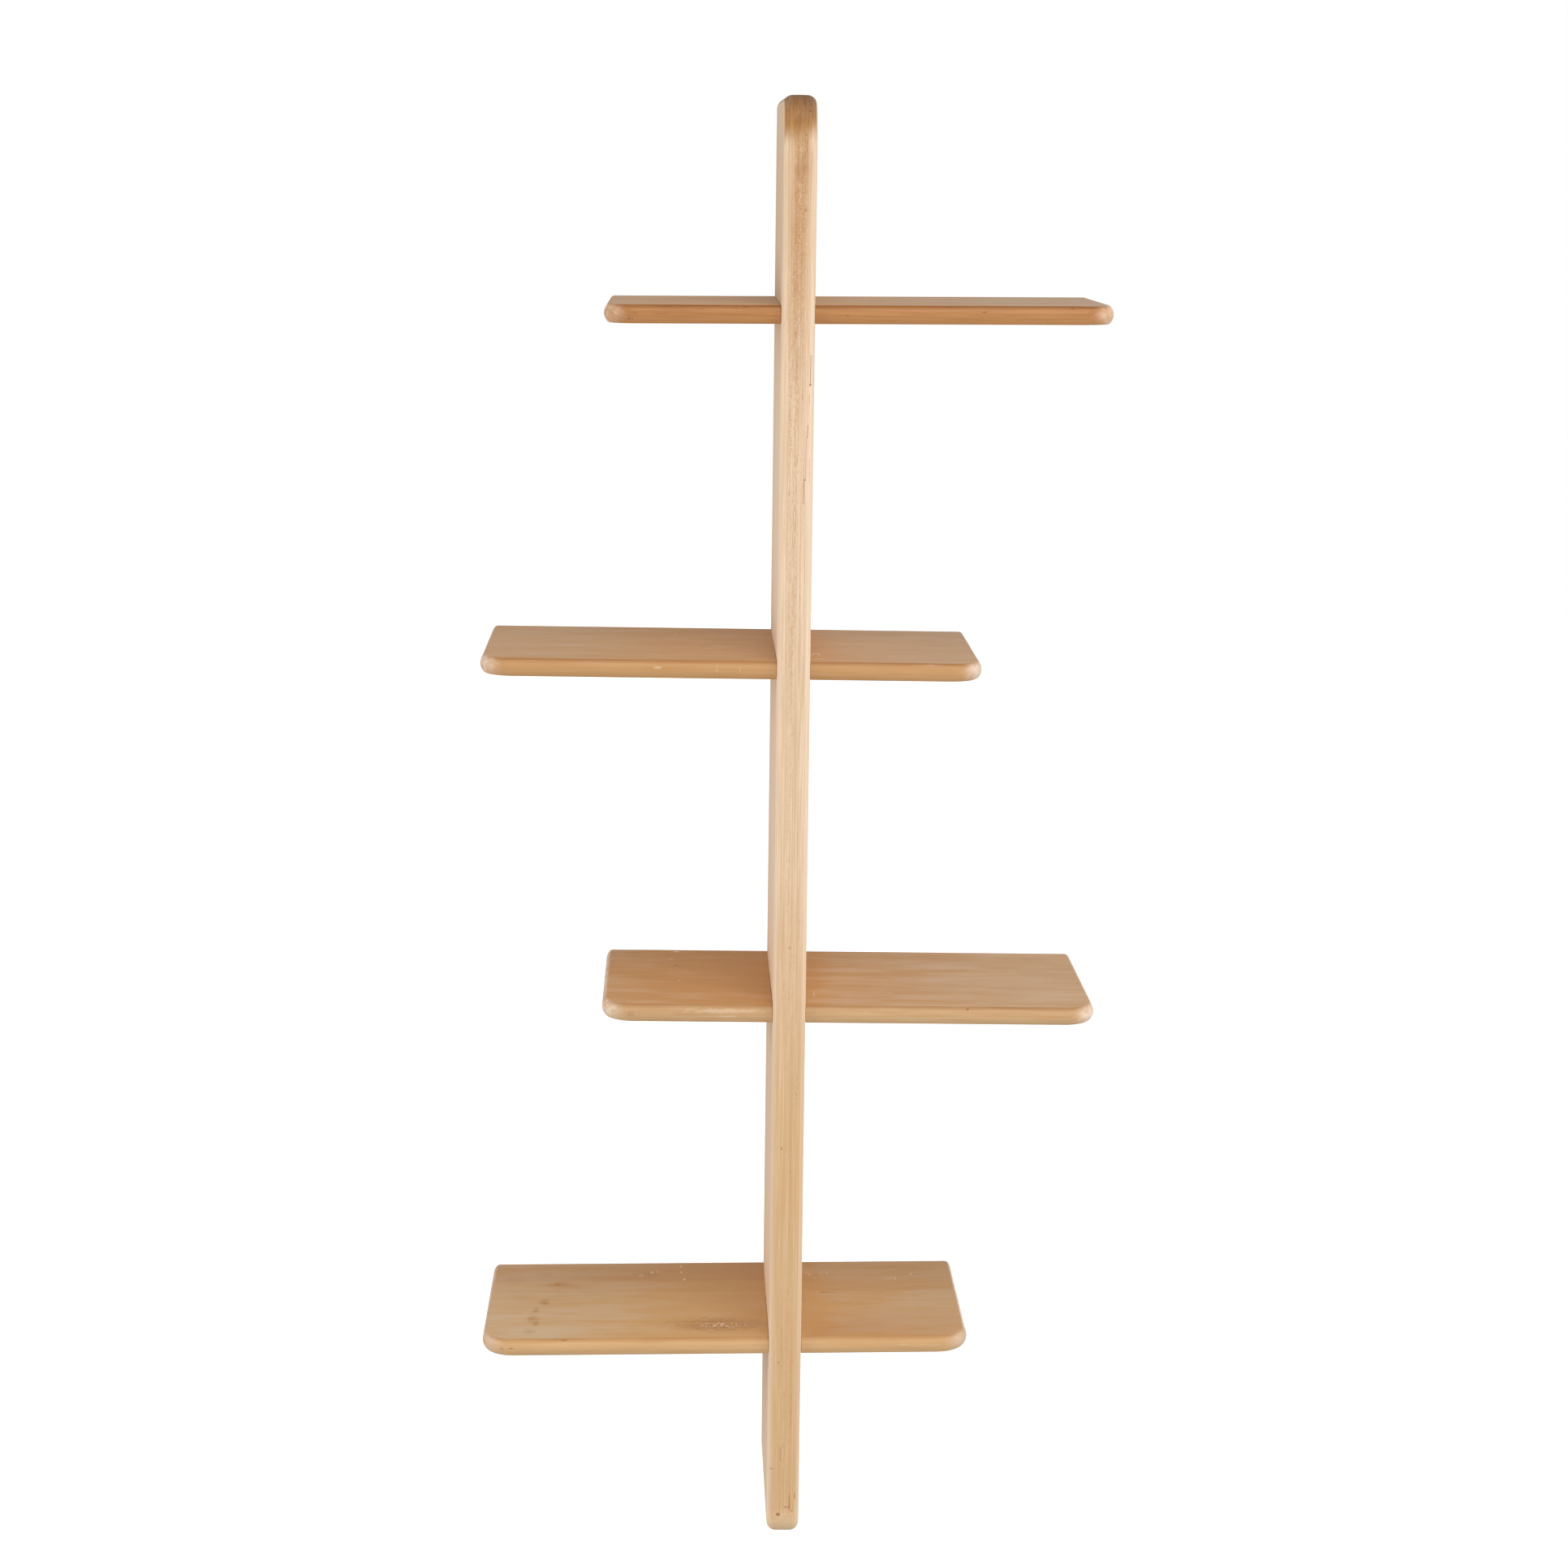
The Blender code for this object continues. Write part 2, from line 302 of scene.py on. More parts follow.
def mark(space, centre, size, wobble, soft=0.6):
    """1 in the middle of an ellipsoid of half-lengths size, and 0 beyond its edge."""
    scale = tuple(1.0 / length for length in size)
    shift = tuple(-place / length for place, length in zip(centre, size))
    near = space.node("ShaderNodeMapping", None, {"Vector": space, "Scale": scale, "Location": shift})
    reach = near.node("ShaderNodeVectorMath", {"operation": "LENGTH"}, {0: near}, output=1)
    return (reach + wobble).between(1.0, 1.0 - soft)


def dapple(space, body, rows, grain):
    """Marks on a colour. Each row is (centre, size, strength, tint, texture)."""
    textures = {
        "flecked": grain["flecks"].between(0.42, 0.62) * grain["streaks"].between(0.30, 0.55),
        "streaked": grain["streaks"].between(0.34, 0.60) * (grain["fibres"] * 0.6 + 0.6),
        "dotted": grain["dots"],
    }
    for centre, size, strength, tint, texture in rows:
        soft = 0.95 if texture == "streaked" else 0.6
        amount = mark(space, centre, size, grain["wobble"], soft) * strength
        if texture in textures:
            amount = amount * textures[texture]
        body = amount.mix(body, tint)
    return body


def thin_line(space, start, end, width, strength):
    """A line along a board from (u, w) start to (u, w) end, on its front edge."""
    u, v, w = space.parts()
    slope = (end[1] - start[1]) / (end[0] - start[0])
    off = abs(w - (u - start[0]) * slope - start[1])
    low, high = min(start[0], end[0]), max(start[0], end[0])
    span = u.between(low - LINE_TAPER, low) * u.between(high + LINE_TAPER, high)
    return off.between(width, width * 0.3) * span * v.between(LINE_BACK, LINE_FRONT) * strength


# %% [markdown]
# ## The upright's wood
#
# The upright is the palest board. Its front is tan down the middle, stippled near the top,
# more golden in the lower half, and paler beside the arrises, where a highlight is painted
# into the colour. The rounded top end was burnished brown, and an opened glue joint runs in
# steps down the right of the front.

# %% Upright colours
UPRIGHT_PALE = colour(233, 206, 177)
UPRIGHT_PALEST = colour(246, 226, 204)
UPRIGHT_TAN = colour(196, 159, 117)
UPRIGHT_DEEP = colour(178, 128, 80)
UPRIGHT_GOLD = colour(208, 166, 111)
UPRIGHT_SIDE_AND_SHEEN = colour(243, 218, 190)
FOOT_PAINTED_LIGHT = colour(247, 217, 175)
END_GOLD = colour(160, 110, 52)
END_BROWN = colour(110, 72, 44)
UPRIGHT_ROUGHNESS = 0.46
# Seed, the pith's place as (v, w), its tilt and the width of a ring.
UPRIGHT_LOG = (2.0, (-0.262, 0.030), (0.010, 0.010), 0.0026)

# %% Lines and marks on the upright
FRONT = -0.210
# Each row: start and end as (u, w), width and strength.
UPRIGHT_LINES = (
    ((0.3730, -0.0102), (0.3960, -0.0105), 0.00050, 0.62),
    ((0.3580, -0.0097), (0.3650, -0.0097), 0.00045, 0.30),
    ((0.3310, -0.0084), (0.3404, -0.0087), 0.00055, 0.55),
    ((0.2968, -0.0073), (0.3310, -0.0077), 0.00045, 0.36),
    ((0.2780, -0.0062), (0.2960, -0.0062), 0.00060, 0.46),
    ((0.2946, -0.0106), (0.3136, -0.0105), 0.00045, 0.26),
    ((0.5552, -0.0050), (0.5660, -0.0056), 0.00050, 0.42),
    ((-0.5311, 0.0024), (-0.5195, 0.0031), 0.00050, 0.36),
)
# Each row: centre and half-lengths as (u, v, w), strength, tint and texture.
UPRIGHT_MARKS = (
    ((0.5869, -0.207, -0.0073), (0.0011, 0.006, 0.0009), 1.0, DARK_MARK, "whole"),
    ((0.3729, FRONT, -0.0102), (0.0011, 0.004, 0.0009), 0.9, DARK_MARK, "whole"),
    ((0.2970, FRONT, -0.0069), (0.0007, 0.004, 0.0013), 0.8, DARK_MARK, "whole"),
    ((0.5685, FRONT, -0.0045), (0.0006, 0.004, 0.0014), 0.5, DARK_MARK, "whole"),
    ((0.5800, -0.207, 0.0010), (0.0075, 0.008, 0.0052), 0.40, END_BROWN, "streaked"),
    ((0.5740, -0.208, 0.0075), (0.0090, 0.006, 0.0024), 0.40, UPRIGHT_GOLD, "streaked"),
    ((0.5430, FRONT, -0.0010), (0.0160, 0.004, 0.0060), 0.34, BROWN_MARK, "whole"),
    ((0.5620, FRONT, -0.0005), (0.0120, 0.004, 0.0068), 0.40, UPRIGHT_DEEP, "flecked"),
    ((0.5100, FRONT, -0.0006), (0.0420, 0.004, 0.0062), 0.55, UPRIGHT_DEEP, "flecked"),
    ((0.4650, FRONT, 0.0004), (0.0500, 0.004, 0.0050), 0.45, UPRIGHT_DEEP, "flecked"),
    ((0.5101, FRONT, -0.0047), (0.0018, 0.004, 0.0006), 0.6, BROWN_MARK, "whole"),
    ((0.4100, FRONT, 0.0019), (0.0070, 0.004, 0.0018), 0.5, BROWN_MARK, "flecked"),
    ((0.3675, FRONT, 0.0049), (0.0080, 0.004, 0.0010), 0.4, BROWN_MARK, "flecked"),
    ((0.3640, FRONT, -0.0040), (0.0080, 0.004, 0.0009), 0.4, BROWN_MARK, "streaked"),
    ((0.3290, FRONT, 0.0046), (0.0240, 0.004, 0.0010), 0.4, BROWN_MARK, "flecked"),
    ((0.3410, FRONT, -0.0029), (0.0230, 0.004, 0.0009), 0.4, BROWN_MARK, "streaked"),
    ((0.3850, FRONT, 0.0010), (0.0300, 0.004, 0.0050), 0.30, UPRIGHT_DEEP, "streaked"),
    ((-0.2578, FRONT, 0.0050), (0.0022, 0.004, 0.0008), 0.8, BROWN_MARK, "whole"),
    ((-0.0872, FRONT, 0.0004), (0.0020, 0.004, 0.0007), 0.6, BROWN_MARK, "whole"),
    ((-0.1180, FRONT, 0.0048), (0.0060, 0.004, 0.0006), 0.6, BROWN_MARK, "flecked"),
    ((-0.2050, FRONT, -0.0070), (0.0200, 0.004, 0.0012), 0.4, BROWN_MARK, "flecked"),
    ((-0.4442, FRONT, 0.0055), (0.0012, 0.004, 0.0008), 0.6, BROWN_MARK, "whole"),
    ((-0.5383, FRONT, 0.0102), (0.0008, 0.004, 0.0018), 0.5, BROWN_MARK, "whole"),
    ((-0.5789, FRONT, 0.0043), (0.0020, 0.006, 0.0022), 0.85, BROWN_MARK, "whole"),
    ((-0.5723, FRONT, -0.0022), (0.0014, 0.004, 0.0020), 0.5, BROWN_MARK, "whole"),
    ((-0.5723, FRONT, -0.0050), (0.0024, 0.004, 0.0011), 0.8, BROWN_MARK, "whole"),
    ((-0.5650, FRONT, -0.0052), (0.0070, 0.004, 0.0008), 0.5, BROWN_MARK, "whole"),
    ((-0.5620, FRONT, -0.0096), (0.0050, 0.004, 0.0008), 0.5, BROWN_MARK, "whole"),
    ((-0.5756, FRONT, -0.0074), (0.0014, 0.004, 0.0012), 0.4, BROWN_MARK, "whole"),
)


# %% Upright material
def upright_front(u, w, front, grain):
    """The base tone, and what shows on the front alone."""
    fine = (grain["fibres"] - 0.5) * 1.2 + (grain["threads"] - 0.5) * 0.6
    fine = fine + (grain["streaks"] - 0.5) * 0.5 + grain["rings"] * 0.20
    middle = abs(w + (grain["clouds"] - 0.5) * 0.006).between(0.0115, 0.0025)
    tone = u.between(0.34, 0.50) * (middle * 0.34 + 0.08) + u.between(-0.10, -0.30) * 0.16 + 0.22
    tone = tone + fine * 0.85 + (grain["clouds"] - 0.5) * 0.45 + (grain["patches"] - 0.5) * 0.30
    body = tone.clamped().mix(UPRIGHT_PALE, UPRIGHT_TAN)
    golden = u.between(0.10, -0.32)
    body = (golden * 0.62).mix(body, UPRIGHT_GOLD)
    body = (middle * u.between(0.34, 0.48) * 0.16).mix(body, UPRIGHT_DEEP)
    stipple = grain["flecks"].between(0.34, 0.66) * middle
    body = (stipple * (u.between(0.26, 0.50) * 0.36 + 0.08)).mix(body, UPRIGHT_DEEP)
    broken = grain["dashes"].between(0.44, 0.64) * grain["streaks"].between(0.36, 0.62) * middle
    reach = u.between(0.02, 0.20) * 0.22 + u.between(-0.34, -0.46) * 0.14 + 0.20
    body = (broken * reach).mix(body, UPRIGHT_DEEP)
    body = (golden * grain["streaks"].between(0.50, 0.66) * 0.16).mix(body, UPRIGHT_DEEP)
    # Painted highlight: the front is paler beside its right arris.
    painted_side_highlight = w.between(-0.0070, -0.0105) * u.between(-0.20, 0.05) * u.between(0.46, 0.36)
    body = (painted_side_highlight * front.between(-0.3, -0.7) * 0.35).mix(body, UPRIGHT_PALEST)
    # Painted highlight on the rounded arrises of the front.
    arris = abs(w).between(0.0085, 0.0115) * front.between(-0.2, -0.7)
    return (arris * (u.between(0.46, 0.36) * 0.26 + 0.24)).mix(body, UPRIGHT_PALE)


def upright_sides(body, u, v, side, grain):
    """Threads on the narrow faces; on the broad ones a plainer, paler tone that is partly painted sheen,
    paler near the front low down, and darker towards the back in painted shade.
    """
    narrow = abs(side).between(0.95, 0.60)
    body = (grain["threads"].between(0.46, 0.66) * narrow * 0.26).mix(body, UPRIGHT_TAN)
    body = (grain["threads"].between(0.46, 0.30) * narrow * 0.20).mix(body, UPRIGHT_PALEST)
    flank = abs(side).between(0.75, 0.95)
    # The broad faces' paler tone is partly the wood and partly painted sheen.
    body = (flank * 0.65).mix(body, UPRIGHT_SIDE_AND_SHEEN)
    # Paler near the front edge, low on the broad faces.
    pale_front_band = v.between(-0.175, -0.196) * flank * u.between(-0.40, -0.50)
    body = (pale_front_band * 0.6).mix(body, UPRIGHT_PALEST)
    # Painted shade: the broad faces are darker towards the back edge, by the wall.
    back_shade = v.between(-0.10, -0.01) * flank
    body = (back_shade * 0.15).mix(body, UPRIGHT_DEEP)
    return (flank * u.between(0.32, 0.48) * 0.36).mix(body, UPRIGHT_TAN)


def upright_ends(body, space, u, w, side, grain):
    """The foot's sawn end, paler in painted light where it turns down, and the crown's, burnished in ragged
    tongues.
    """
    sawn_foot = u.between(-0.572, -0.588)
    # Painted light: the foot's end is made paler so that it does not darken where it turns down.
    body = (sawn_foot * 0.55).mix(body, FOOT_PAINTED_LIGHT)
    body = (sawn_foot * grain["rings"] * 0.20).mix(body, UPRIGHT_DEEP)
    tongues = space.noise((60.0, 60.0, 700.0), 41.0, 3.0, 0.6) - 0.5
    ragged = u + tongues * 0.014 + w * 0.20 + (grain["clouds"] - 0.5) * 0.010
    burnished = ragged.between(0.561, 0.581) * abs(side).between(0.97, 0.80)
    deep = (u + tongues * 0.016 - w * 0.30).between(0.574, 0.604)
    return (burnished * (tongues * 0.45 + 0.88)).mix(body, deep.mix(END_GOLD, END_BROWN))


def upright_wood():
    material, shader, place = new_material("upright_timber")
    space = board_space(place, math.pi / 2)
    u, v, w = space.parts()
    side, front, _ = facing(place)
    grain = wood_grain(space, *UPRIGHT_LOG)
    body = upright_front(u, w, front, grain)
    body = upright_sides(body, u, v, side, grain)
    body = upright_ends(body, space, u, w, side, grain)
    body = dapple(space, body, UPRIGHT_MARKS, grain)
    for start, end, width, strength in UPRIGHT_LINES:
        body = thin_line(space, start, end, width, strength).mix(body, LINE_BROWN)
    feed(shader, "Base Color", body)
    wax(shader, space, grain, UPRIGHT_ROUGHNESS)
    return material


# %% [markdown]
# ## The shelves' wood
#
# The four shelves are a warmer timber than the upright, each a little different. Their
# upper faces carry a painted grey sheen towards the ends and turn more orange beside the
# upright, where a painted reflection of the upright takes the sheen's place. Their front
# edges are golden with a deeper line along the upper rim and paler below in painted light,
# and sanding has turned the end grain of the rounded corners pinkish and mottled, with
# painted light making the ends that face right paler than those that face left.

# %% Shelf colours
# The faces are sheen_grey, a greyed tone of painted sheen, and warm, and the edges plain, light and deep.
# The end grain is last.
TONE_NAMES = ("sheen_grey", "warm", "plain", "light", "deep", "end")
SHELF_TONES = {
    "top": (
        (188, 162, 136), (192, 150, 106), (164, 110, 62), (192, 138, 88), (134, 78, 28), (226, 192, 162),
    ),
    "upper": (
        (198, 163, 126), (198, 149, 95), (186, 136, 86), (200, 157, 108), (156, 102, 56), (229, 206, 186),
    ),
    "lower": (
        (206, 170, 132), (199, 144, 81), (188, 144, 98), (209, 174, 131), (160, 110, 62), (238, 216, 195),
    ),
    "bottom": (
        (208, 183, 153), (206, 161, 104), (198, 152, 102), (216, 178, 131), (172, 122, 70), (216, 190, 168),
    ),
}
# How much warmer an upper face is right of the upright, with less of its painted sheen. Below 0 it is
# greyer, with more painted sheen.
RIGHT_WARMTH = {"top": 0.40, "upper": -0.12, "lower": 0.12, "bottom": 0.40}
BACK_STRIP_AND_SHADOW = colour(176, 112, 66)
NEXT_STRIP = colour(196, 138, 78)
FRONT_RIGHT = colour(186, 126, 68)
SHELF_ROUGHNESS = 0.42
# The pith's place as (v, w), its tilt and the width of a ring.
SHELF_LOG = ((-0.10, -0.14), (0.03, 0.016), 0.0032)

# %% Marks on the shelves' front edges
SHELF_FRONT = -0.205
# Each row: u, w, half-length, half-height, strength and tint.
EDGE_MARKS = {
    "top": (
        (-0.1396, 0.0045, 0.0022, 0.0007, 0.72, DARK_MARK),
        (-0.1306, 0.0012, 0.0022, 0.0005, 0.56, DARK_MARK),
        (-0.1281, 0.0004, 0.0020, 0.0005, 0.56, DARK_MARK),
        (-0.1345, -0.0036, 0.0010, 0.0014, 0.72, DARK_MARK),
        (-0.1319, -0.0039, 0.0007, 0.0009, 0.64, DARK_MARK),
        (-0.1455, -0.0036, 0.0009, 0.0012, 0.56, DARK_MARK),
        (-0.1397, -0.0026, 0.0009, 0.0008, 0.7, BROWN_MARK),
        (-0.0410, 0.0060, 0.0040, 0.0010, 0.56, DARK_MARK),
        (-0.0275, 0.0066, 0.0090, 0.0007, 0.56, DARK_MARK),
        (-0.1080, 0.0064, 0.0150, 0.0010, 0.48, DARK_MARK),
        (-0.1050, 0.0004, 0.0110, 0.0006, 0.56, DARK_MARK),
        (-0.0765, 0.0047, 0.0050, 0.0007, 0.32, DARK_MARK),
        (-0.0494, 0.0050, 0.0050, 0.0008, 0.40, DARK_MARK),
        (0.1485, 0.0024, 0.0022, 0.0006, 0.64, DARK_MARK),
        (0.2191, 0.0055, 0.0020, 0.0007, 0.64, DARK_MARK),
        (0.1795, 0.0058, 0.0050, 0.0006, 0.48, DARK_MARK),
        (0.1205, 0.0062, 0.0020, 0.0006, 0.48, DARK_MARK),
        (0.0391, -0.0004, 0.0030, 0.0006, 0.40, DARK_MARK),
        (0.0940, 0.0020, 0.0050, 0.0006, 0.32, DARK_MARK),
    ),
    "upper": (
        (-0.1097, 0.0016, 0.0040, 0.0012, 0.30, PALE_MARK),
        (-0.0620, 0.0006, 0.0005, 0.0040, 0.32, PALE_MARK),
        (-0.0433, 0.0001, 0.0005, 0.0030, 0.22, PALE_MARK),
        (0.1080, 0.0058, 0.0160, 0.0012, 0.4, PALE_MARK),
    ),
    "lower": (
        (-0.1306, -0.0008, 0.0040, 0.0017, 0.45, BROWN_MARK),
        (-0.1306, -0.0006, 0.0022, 0.0008, 0.25, PALE_MARK),
        (-0.0839, -0.0058, 0.0080, 0.0010, 0.35, PALE_MARK),
        (-0.0514, -0.0018, 0.0140, 0.0012, 0.40, PALE_MARK),
        (-0.0560, 0.0026, 0.0460, 0.0030, 0.45, PALE_MARK),
        (0.1477, 0.0056, 0.0014, 0.0010, 0.9, DARK_MARK),
    ),
    "bottom": (
        (-0.1856, 0.0062, 0.0040, 0.0007, 0.8, BROWN_MARK),
        (-0.1913, 0.0068, 0.0050, 0.0007, 0.6, BROWN_MARK),
        (-0.2301, 0.0001, 0.0026, 0.0008, 0.7, BROWN_MARK),
        (-0.2378, -0.0007, 0.0030, 0.0008, 0.6, BROWN_MARK),
        (0.1000, 0.0008, 0.0080, 0.0010, 0.4, PALE_MARK),
    ),
}

# %% Marks on the shelves' upper faces
UPPER_FACE = 0.0075
# Each row: u, v, half-length, half-depth, strength, tint and texture.
FACE_MARKS = {
    "top": (),
    "upper": (
        (-0.0961, -0.0468, 0.0022, 0.0020, 0.6, PALE_MARK, "whole"),
        (-0.0708, -0.1152, 0.0070, 0.0016, 0.5, BROWN_MARK, "whole"),
        (0.0195, -0.1580, 0.0060, 0.0120, 0.6, PALE_MARK, "dotted"),
        (0.0230, -0.1850, 0.0080, 0.0060, 0.4, PALE_MARK, "flecked"),
        (0.0400, -0.1930, 0.0300, 0.0024, 0.35, PALE_MARK, "flecked"),
    ),
    "lower": (
        (-0.0938, -0.0102, 0.0030, 0.0022, 0.9, PALE_MARK, "whole"),
        (-0.0980, -0.0389, 0.0028, 0.0016, 0.7, PALE_MARK, "whole"),
        (-0.0934, -0.0627, 0.0018, 0.0016, 0.7, DARK_MARK, "whole"),
        (-0.0913, -0.1193, 0.0008, 0.0040, 0.5, PALE_MARK, "whole"),
        (0.0219, -0.1621, 0.0008, 0.0120, 0.4, PALE_MARK, "whole"),
    ),
    "bottom": (
        (-0.1940, -0.0626, 0.0200, 0.0080, 1.00, STAIN, "streaked"),
        (-0.1953, -0.0600, 0.0055, 0.0045, 0.50, STAIN, "whole"),
        (-0.1800, -0.0700, 0.0160, 0.0050, 0.60, STAIN, "streaked"),
        (-0.2060, -0.1080, 0.0070, 0.0110, 1.00, STAIN, "streaked"),
        (-0.2120, -0.1300, 0.0045, 0.0090, 1.00, STAIN, "streaked"),
        (-0.2140, -0.1520, 0.0070, 0.0160, 0.95, STAIN, "streaked"),
        (-0.2105, -0.1640, 0.0040, 0.0070, 0.55, STAIN, "whole"),
        (-0.2150, -0.1840, 0.0080, 0.0110, 0.70, STAIN, "streaked"),
        (-0.2330, -0.0500, 0.0120, 0.0200, 0.25, BROWN_MARK, "flecked"),
        (-0.2080, -0.0350, 0.0100, 0.0140, 0.25, BROWN_MARK, "flecked"),
        (-0.1180, -0.0360, 0.0150, 0.0110, 0.65, BROWN_MARK, "flecked"),
        (-0.1206, -0.0393, 0.0060, 0.0070, 0.60, PALE_MARK, "dotted"),
        (-0.1105, -0.0290, 0.0070, 0.0060, 0.70, PALE_MARK, "dotted"),
        (-0.0874, -0.0141, 0.0014, 0.0028, 0.80, PALE_MARK, "whole"),
        (-0.0871, -0.0300, 0.0014, 0.0024, 0.80, PALE_MARK, "whole"),
        (-0.0844, -0.0500, 0.0014, 0.0030, 0.80, PALE_MARK, "whole"),
        (-0.0600, -0.1700, 0.0560, 0.0240, 0.70, BROWN_MARK, "streaked"),
        (-0.0540, -0.1700, 0.0480, 0.0200, 0.20, BROWN_MARK, "whole"),
        (-0.0520, -0.1722, 0.0270, 0.0085, 0.50, PALE_MARK, "dotted"),
        (0.0235, -0.0375, 0.0060, 0.0060, 0.60, PALE_MARK, "dotted"),
        (0.0393, -0.0360, 0.0050, 0.0060, 0.60, PALE_MARK, "dotted"),
        (0.0380, -0.0885, 0.0060, 0.0012, 0.80, BROWN_MARK, "whole"),
        (0.0455, -0.0898, 0.0050, 0.0010, 0.60, BROWN_MARK, "whole"),
        (0.0997, -0.0518, 0.0100, 0.0070, 0.50, PALE_MARK, "dotted"),
        (0.1169, -0.0405, 0.0016, 0.0030, 0.60, PALE_MARK, "whole"),
    ),
}


# %% Shelf material
MARK_DEPTH = 0.006
SHORT_MARK = 0.004


def shelf_marks(label):
    """Rows for dapple, from the two tables."""
    rows = []
    for u, w, long, high, strength, tint in EDGE_MARKS[label]:
        texture = "streaked" if long > SHORT_MARK else "whole"
        rows.append(((u, SHELF_FRONT, w), (long, MARK_DEPTH, high), strength, tint, texture))
    for u, v, long, deep, strength, tint, texture in FACE_MARKS[label]:
        rows.append(((u, v, UPPER_FACE), (long, deep, MARK_DEPTH / 2), strength, tint, texture))
    return rows


def shelf_face(label, u, fine, grain, tones):
    """A greyed tone of painted sheen towards the ends, and warmer beside the upright, where a painted
    reflection of the upright takes the sheen's place.
    """
    # Painted sheen and reflection: the grey tone stands in for the sheen, the warm one beside the upright
    # for its reflection.
    near = u.between(-0.21, -0.01) * u.between(0.05, -0.01) * 0.95 + u.between(0.22, 0.0) * 0.45
    near = near + u.between(-0.01, 0.03) * RIGHT_WARMTH[label]
    near = near + (grain["clouds"] - 0.5) * 0.9 + (grain["bands"] - 0.5) * 0.9 + fine * 0.65
    face = near.clamped().mix(tones["sheen_grey"], tones["warm"])
    face = (grain["bands"].between(0.48, 0.72) * 0.11).mix(face, tones["deep"])
    return (grain["bands"].between(0.52, 0.30) * 0.11).mix(face, tones["end"])


def shelf_edge(w, fine, grain, tones):
    """Golden, paler below in painted light, and with a deeper line along the upper rim."""
    level = (grain["clouds"] - 0.5) * 0.5 + (grain["patches"] - 0.5) * 0.7 + fine * 0.8 + 0.50
    # Painted light: the lower half of the edge is paler, as if lit from below.
    level = level - w.between(0.0005, -0.0070) * 0.45
    edge = level.clamped().mix(tones["light"], tones["plain"])
    rim = w.between(0.0034, 0.0072)
    return (rim * (grain["patches"] * 0.5 + 0.45)).mix(edge, tones["deep"])


def bottom_strips(body, u, v, flat):
    """The bottom shelf's faces show the strips that it is glued from; the back strip is darker left of the
    upright in painted shadow of the upright.
    """
    back_strip_and_shadow = v.between(-0.0540, -0.0520) * flat
    next_strip = v.between(-0.0850, -0.0830) * flat
    # Painted shadow: the back strip is darker left of the upright, where the upright's shadow falls.
    body = (back_strip_and_shadow * (u.between(0.01, -0.01) * 0.20 + 0.08)).mix(body, BACK_STRIP_AND_SHADOW)
    body = ((next_strip - back_strip_and_shadow) * 0.25).mix(body, NEXT_STRIP)
    front_right = v.between(-0.11, -0.19) * u.between(0.0, 0.03) * flat
    return (front_right * 0.35).mix(body, FRONT_RIGHT)


def shelf_ends(body, side, flat, grain, tones):
    """Mottled end grain on the ends and round the corners, in painted light paler where an end faces right
    and darker where it faces left.
    """
    ends = abs(side).between(0.22, 0.85) * (1.0 - flat)
    mottle = grain["patches"].between(0.35, 0.65) * 0.5 + grain["flecks"].between(0.35, 0.65) * 0.25
    # Painted light: ends that face right are paler and those that face left darker.
    body = (ends * (mottle + side * 0.20 + 0.34)).mix(body, tones["end"])
    return (ends * grain["rings"] * 0.18).mix(body, tones["plain"])


def shelf_wood(label, seat, lean, seed):
    tones = {name: colour(*tone) for name, tone in zip(TONE_NAMES, SHELF_TONES[label])}
    material, shader, place = new_material(label + "_timber")
    space = board_space(place, math.radians(lean), seat)
    u, v, w = space.parts()
    side, _, rise = facing(place)
    grain = wood_grain(space, seed, *SHELF_LOG)
    fine = (grain["fibres"] - 0.5) * 0.8 + (grain["streaks"] - 0.5) * 0.9 + grain["rings"] * 0.22
    flat = abs(rise).between(0.86, 0.96)
    body = flat.mix(shelf_edge(w, fine, grain, tones), shelf_face(label, u, fine, grain, tones))
    if label == "bottom":
        body = bottom_strips(body, u, v, flat)
    body = shelf_ends(body, side, flat, grain, tones)
    body = dapple(space, body, shelf_marks(label), grain)
    body = (grain["pores"] * 0.30).mix(body, tones["deep"])
    feed(shader, "Base Color", body)
    wax(shader, space, grain, SHELF_ROUGHNESS)
    return material


# %% [markdown]
# ## Boards
#
# A board starts as its outline, seen flat, with the joint cut out of it. The outline is
# extruded to the board's thickness and its corners are bevelled to their radius. Then
# its edge is sliced into thin layers, and each layer is drawn in by the depth of the
# edge's profile there. The shelves have a shallow bullnose that meets the broad faces
# at a crisp line. The upright has round arrises that grow fuller towards its two ends,
# where more hands and more sandpaper pass, and its crown is slightly domed. The walls of
# the joints stay sharp.

# %% Sizes of the boards
UPRIGHT_HEIGHT = 1.200
UPRIGHT_DEPTH = 0.210
UPRIGHT_THICKNESS = 0.027
UPRIGHT_TOP_RADIUS = 0.026
UPRIGHT_FOOT_RADIUS = 0.022
UPRIGHT_BACK_RADIUS = 0.008
ARRIS_RADIUS = 0.005
TOP_ARRIS_RADIUS = 0.0072
CROWN_DOME = 0.0006
FOOT_ARRIS_RADIUS = 0.0075
SHELF_LENGTH = 0.410
SHELF_DEPTH = 0.205
SHELF_THICKNESS = 0.015
SHELF_FRONT_RADIUS = 0.027
SHELF_BACK_RADIUS = 0.0065
BULLNOSE_RADIUS = 0.0095
BULLNOSE_EASE = 0.0004
LOWEST_SHELF = -0.424
SHELF_SPACING = 0.2865
SHELF_REACH = 0.050
SLOT_DEPTH = 0.1025
CLEARANCE = 0.0003
CORNER_SEGMENTS = 20
EDGE_LAYERS = 12
DOME_LAYERS = 4
ARRIS_STEPS = 8
OUTER_SHARE = 0.97
CREASE = math.radians(30.0)
TINY = 1e-6


